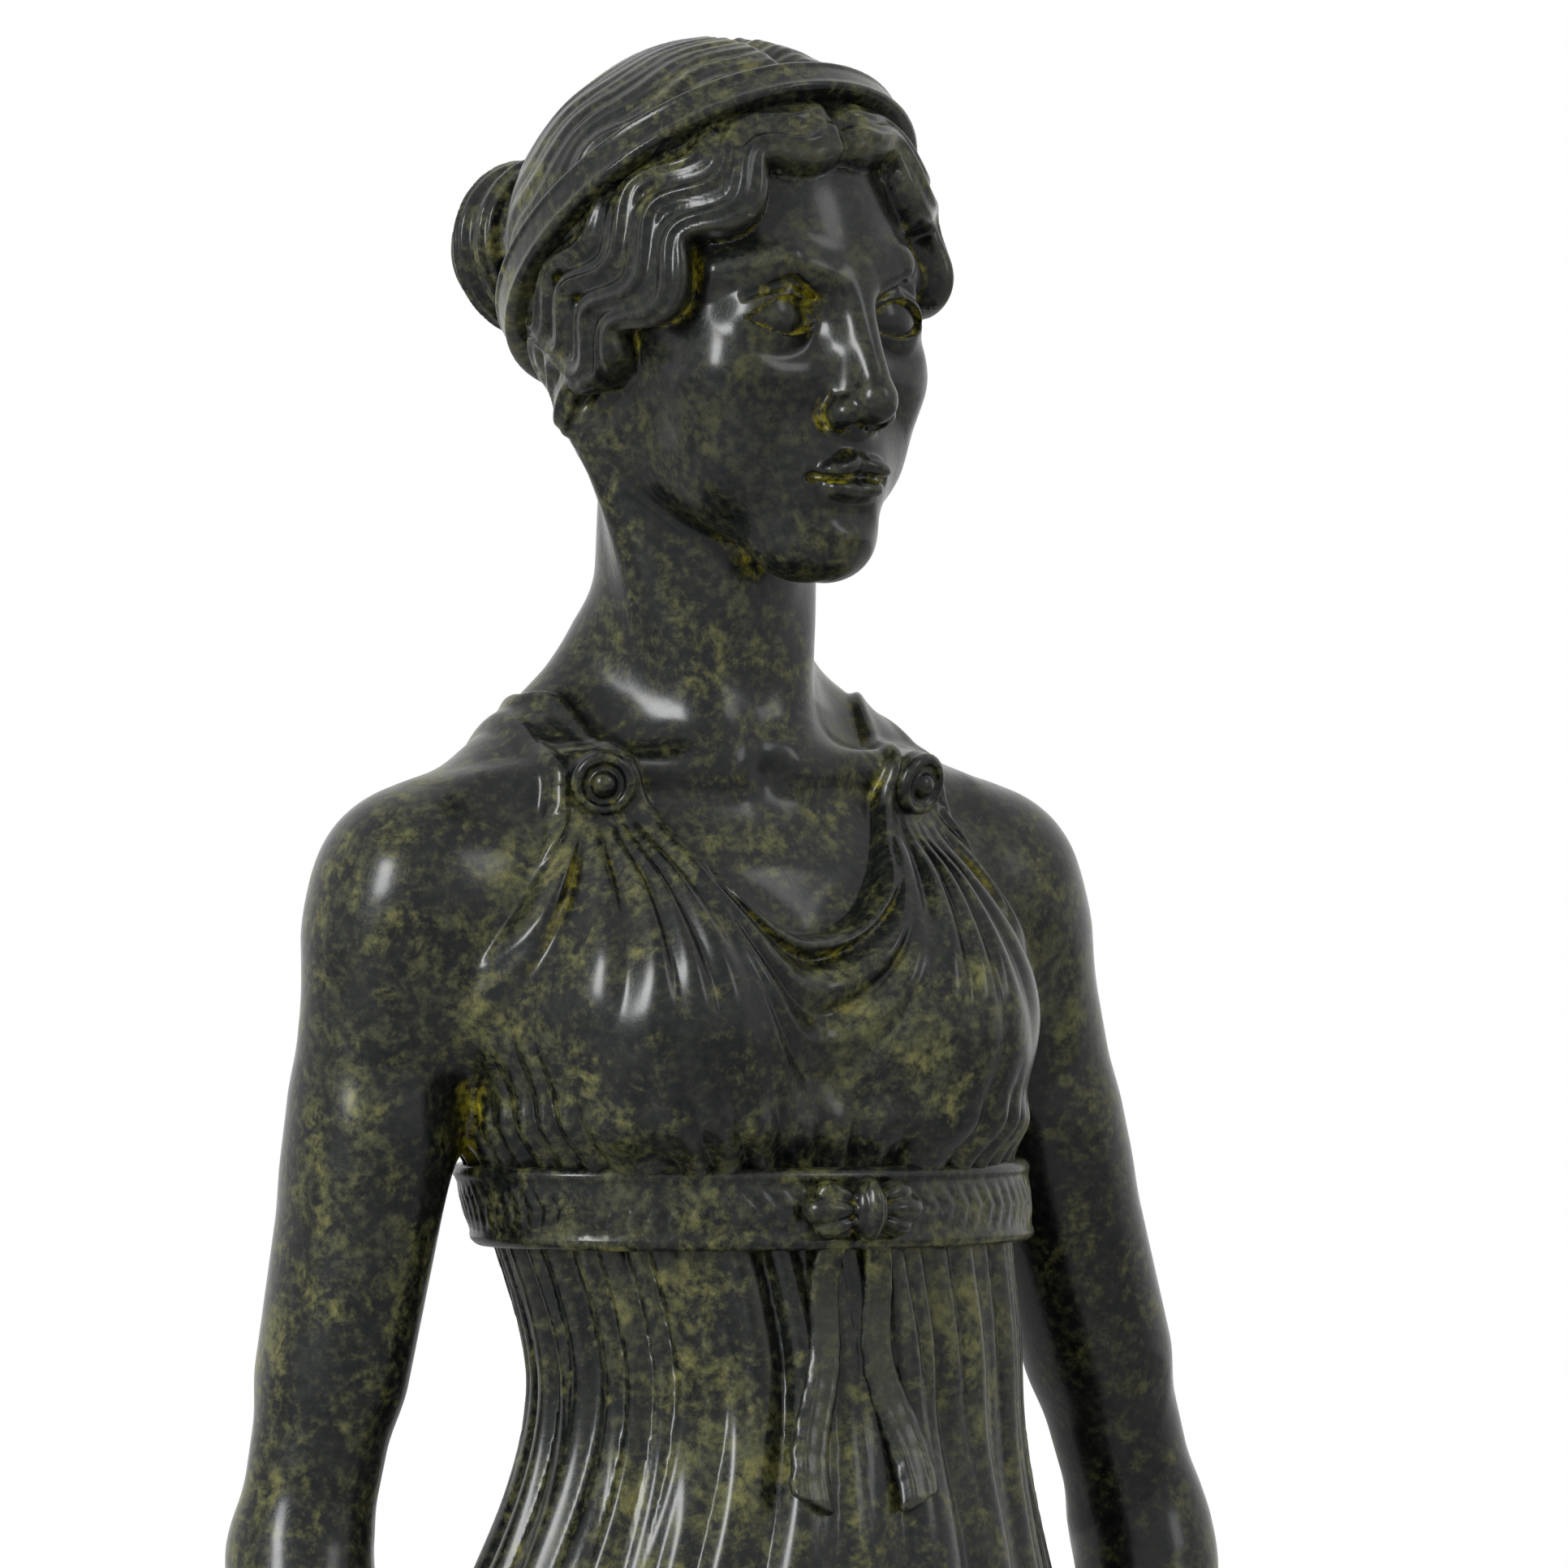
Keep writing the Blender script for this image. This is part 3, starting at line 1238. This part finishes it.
def make_torso():
    """The back and two halves of the bodice are three meshes of one casting."""

    def torso(p):
        d, owner = figure_parts(p)
        d = seam(seam(d, owner), p[:, 2] - NECK)
        return np.maximum(d, GIRDLE - 1.5 - p[:, 2])

    split = NECK_Y - 1
    box = (-32, -20, GIRDLE - 3), (24, 22, NECK + SEAM_ROOM)
    pieces = (
        ("back", BACK_STEP, ((Y, split, -1),)),
        ("right_bodice", BODICE_STEP, ((Y, split, 1), (X, NECK_X, 1))),
        ("left_bodice", BODICE_STEP, ((Y, split, 1), (X, NECK_X, -1))),
    )
    for name, step, seams in pieces:
        cast(name, "torso_casting", *cut(torso, box, *seams), step, figure)


def make_arms():
    def arm(p):
        d, owner = figure_parts(p)
        return seam(d, -owner)

    for name, side in SIDES.items():
        inner, outer = NECK_X + side * 9, side * 47
        low = (min(inner, outer), -18, ARMS[name][2][2] - 32)
        high = (max(inner, outer), 22, NECK)
        cast(f"{name}_arm", f"{name}_arm_casting", arm, low, high, ARM_STEP, figure)


def make_gown():
    """Waist and skirt are two meshes of one casting."""

    def gown(p):
        return np.maximum(gown_field(p), np.maximum(p[:, 2] - GIRDLE - 1.5, HEM - p[:, 2]))

    split = HIP + 12
    pieces = (
        ("gown_waist", WAIST_STEP, ((-36, -27, split), (34, 28, GIRDLE + 2)), -1),
        ("gown_skirt", SKIRT_STEP, ((-38, -32, HEM - 1), (38, 30, split)), 1),
    )
    for name, step, box, side in pieces:
        cast(name, "gown_casting", *cut(gown, box, (Z, split, side)), step, gown_field)


def around(node, margin):
    """The CAD node's box in millimetres, with a margin."""
    low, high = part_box(node)
    return [v / MM - margin for v in low], [v / MM + margin for v in high]


def make_hair_and_girdle_pieces():
    pieces = (
        ("hair_ribbon", "hair_band", band_field, HAIR_STEP),
        ("hair_coil", "hair_knot", hair_knot_field, HAIR_STEP),
        ("girdle_band", "girdle", girdle_field, WAIST_STEP),
        ("girdle_tie", "girdle_knot", girdle_knot_field(), SMALL_STEP),
    )
    for name, node, field, step in pieces:
        cast(name, node, field, *around(node, 4), step)


def make_clasps():
    for name, side in SIDES.items():
        field, spot = clasp_field(side)
        cast(f"{name}_clasp", f"{name}_shoulder_clasp", field, spot - 4, spot + 4, SMALL_STEP)


def make_feet():
    for name, side in SIDES.items():
        node = f"{name}_foot_casting"
        cast(f"{name}_foot", node, foot_field(side), *around(node, 3), ARM_STEP)


def make_base():
    """The turned base, with a fine groove under its rounded top edge."""
    radius, low, high, rounding = BASE
    profile = [(0, low), (radius - 0.6, low), (radius, low + 0.6)]
    groove = high - rounding - 1.2
    profile += [(radius, groove - 0.5), (radius - 0.5, groove), (radius, groove + 0.5)]
    for step in range(7):
        turn = math.radians(15 * step)
        profile.append((radius - rounding * (1 - math.cos(turn)), high - rounding * (1 - math.sin(turn))))
    profile.append((0, high))
    rounds = 192
    shape = bmesh.new()
    rings = []
    for r, z in profile:
        turns = [2 * math.pi * i / rounds for i in range(rounds)] if r else [0]
        rings.append([shape.verts.new((r * math.cos(t) * MM, r * math.sin(t) * MM, z * MM)) for t in turns])
    for below, above in zip(rings, rings[1:]):
        for i in range(rounds):
            places = ((below, i), (below, i + 1), (above, i + 1), (above, i))
            shape.faces.new(dict.fromkeys(ring[place % len(ring)] for ring, place in places))
    add_shape("turned_base", "bronze_base", shape, BRONZE)


def make_plinth():
    width, low, high, rounding = PLINTH
    shape = bmesh.new()
    bmesh.ops.create_cube(shape, size=1)
    bmesh.ops.scale(shape, vec=(width * MM, width * MM, (high - low) * MM), verts=shape.verts)
    bmesh.ops.translate(shape, vec=(0, 0, (low + high) / 2 * MM), verts=shape.verts)
    edges = shape.edges[:]
    bmesh.ops.bevel(shape, geom=edges, offset=rounding * MM, segments=5, profile=0.5, affect="EDGES")
    add_shape("wooden_plinth", "wood_plinth", shape, WOOD)


def add_shape(name, node, shape, material):
    """A piece from a bmesh, smooth but for its sharp edges."""
    mesh = bpy.data.meshes.new(name)
    shape.to_mesh(mesh)
    shape.free()
    mesh.shade_smooth()
    mesh.set_sharp_from_angle(angle=math.radians(35))
    dress(bpy.data.objects.new(name, mesh), node, material)


make_head()
make_torso()
make_arms()
make_gown()
make_hair_and_girdle_pieces()
make_clasps()
make_feet()
make_base()
make_plinth()


# Nodes shown as they are in the CAD


FINISHES = {"wood_plinth": WOOD, "felt_pad": FELT, "mounting_screw": STEEL, "mounting_washer": STEEL}
for name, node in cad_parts.items():
    inner = name.endswith(("pin", "dowel", "sleeve"))
    node.data.materials.clear()
    node.data.materials.append(FINISHES.get(name, BRASS if inner else BRONZE))


# Stage, light and camera


WHITE = (1.0, 1.0, 1.0, 1.0)
LIGHT_GREY = (0.8, 0.8, 0.8, 1.0)
FLOOR_GREY = (0.72, 0.72, 0.72, 1.0)
FLOOR_REACH = 2.0
WORLD_LIGHT = 0.50
CHEST_POINT = (0.0, 0.0, 0.27)
# Softboxes: name, azimuth, elevation, distance, width, height and power
SOFTBOXES = (
    ("key", -70, 24, 1.5, 0.34, 0.64, 18.5),
    ("fill", 30, 30, 1.8, 0.50, 0.70, 4.8),
)
CAMERA_AZIMUTH = -30
CAMERA_DISTANCE = 0.80
FRAME_WIDTH = 0.1176
SENSOR_WIDTH = 36
AIM = (0.0014, 0.0020, 0.2801)


def add_floor():
    r = FLOOR_REACH
    mesh = bpy.data.meshes.new("floor")
    mesh.from_pydata([(-r, -r, 0), (r, -r, 0), (r, r, 0), (-r, r, 0)], [], [(0, 1, 2, 3)])
    floor = bpy.data.objects.new("floor", mesh)
    SCENE.collection.objects.link(floor)
    material, _, shader, _ = new_material("pale_floor")
    shader.inputs["Base Color"].default_value = FLOOR_GREY
    shader.inputs["Roughness"].default_value = 0.8
    mesh.materials.append(material)


def add_world():
    """White to the camera and in reflections, and a plain grey light otherwise."""
    world = bpy.data.worlds.new("studio")
    SCENE.world = world
    world.use_nodes = True
    nodes = Nodes(world)
    rays = nodes.add("ShaderNodeLightPath").outputs
    shiny = nodes.math("MAXIMUM", rays["Is Glossy Ray"], rays["Is Transmission Ray"])
    seen = nodes.math("MAXIMUM", rays["Is Camera Ray"], shiny)
    light = nodes.add("ShaderNodeBackground", {"Color": LIGHT_GREY, "Strength": WORLD_LIGHT})
    white = nodes.add("ShaderNodeBackground", {"Color": WHITE, "Strength": 1.0})
    mix = nodes.add("ShaderNodeMixShader")
    output = nodes.add("ShaderNodeOutputWorld")
    for index, out in enumerate((seen, light.outputs[0], white.outputs[0])):
        nodes.link(out, mix.inputs[index])
    nodes.link(mix.outputs[0], output.inputs[0])


def stand(obj, target, azimuth, elevation, distance):
    """Puts a lamp or camera round its target, 0 being the figure's front, and aims it."""
    a, e = math.radians(azimuth), math.radians(elevation)
    away = Vector((math.sin(a) * math.cos(e), -math.cos(a) * math.cos(e), math.sin(e)))
    obj.location = Vector(target) + away * distance
    obj.rotation_euler = (Vector(target) - obj.location).to_track_quat("-Z", "Y").to_euler()
    SCENE.collection.objects.link(obj)


def add_softboxes():
    for name, azimuth, elevation, distance, width, height, power in SOFTBOXES:
        lamp = bpy.data.lights.new(name, "AREA")
        lamp.shape = "RECTANGLE"
        lamp.size, lamp.size_y = width, height
        lamp.energy = power
        stand(bpy.data.objects.new(name, lamp), CHEST_POINT, azimuth, elevation, distance)


def add_camera():
    camera = bpy.data.cameras.new("camera")
    camera.sensor_width = SENSOR_WIDTH
    camera.lens = SENSOR_WIDTH * CAMERA_DISTANCE / FRAME_WIDTH
    obj = bpy.data.objects.new("camera", camera)
    stand(obj, AIM, CAMERA_AZIMUTH, 0, CAMERA_DISTANCE)
    SCENE.camera = obj


add_floor()
add_world()
add_softboxes()
add_camera()
SCENE.view_settings.view_transform = "Standard"
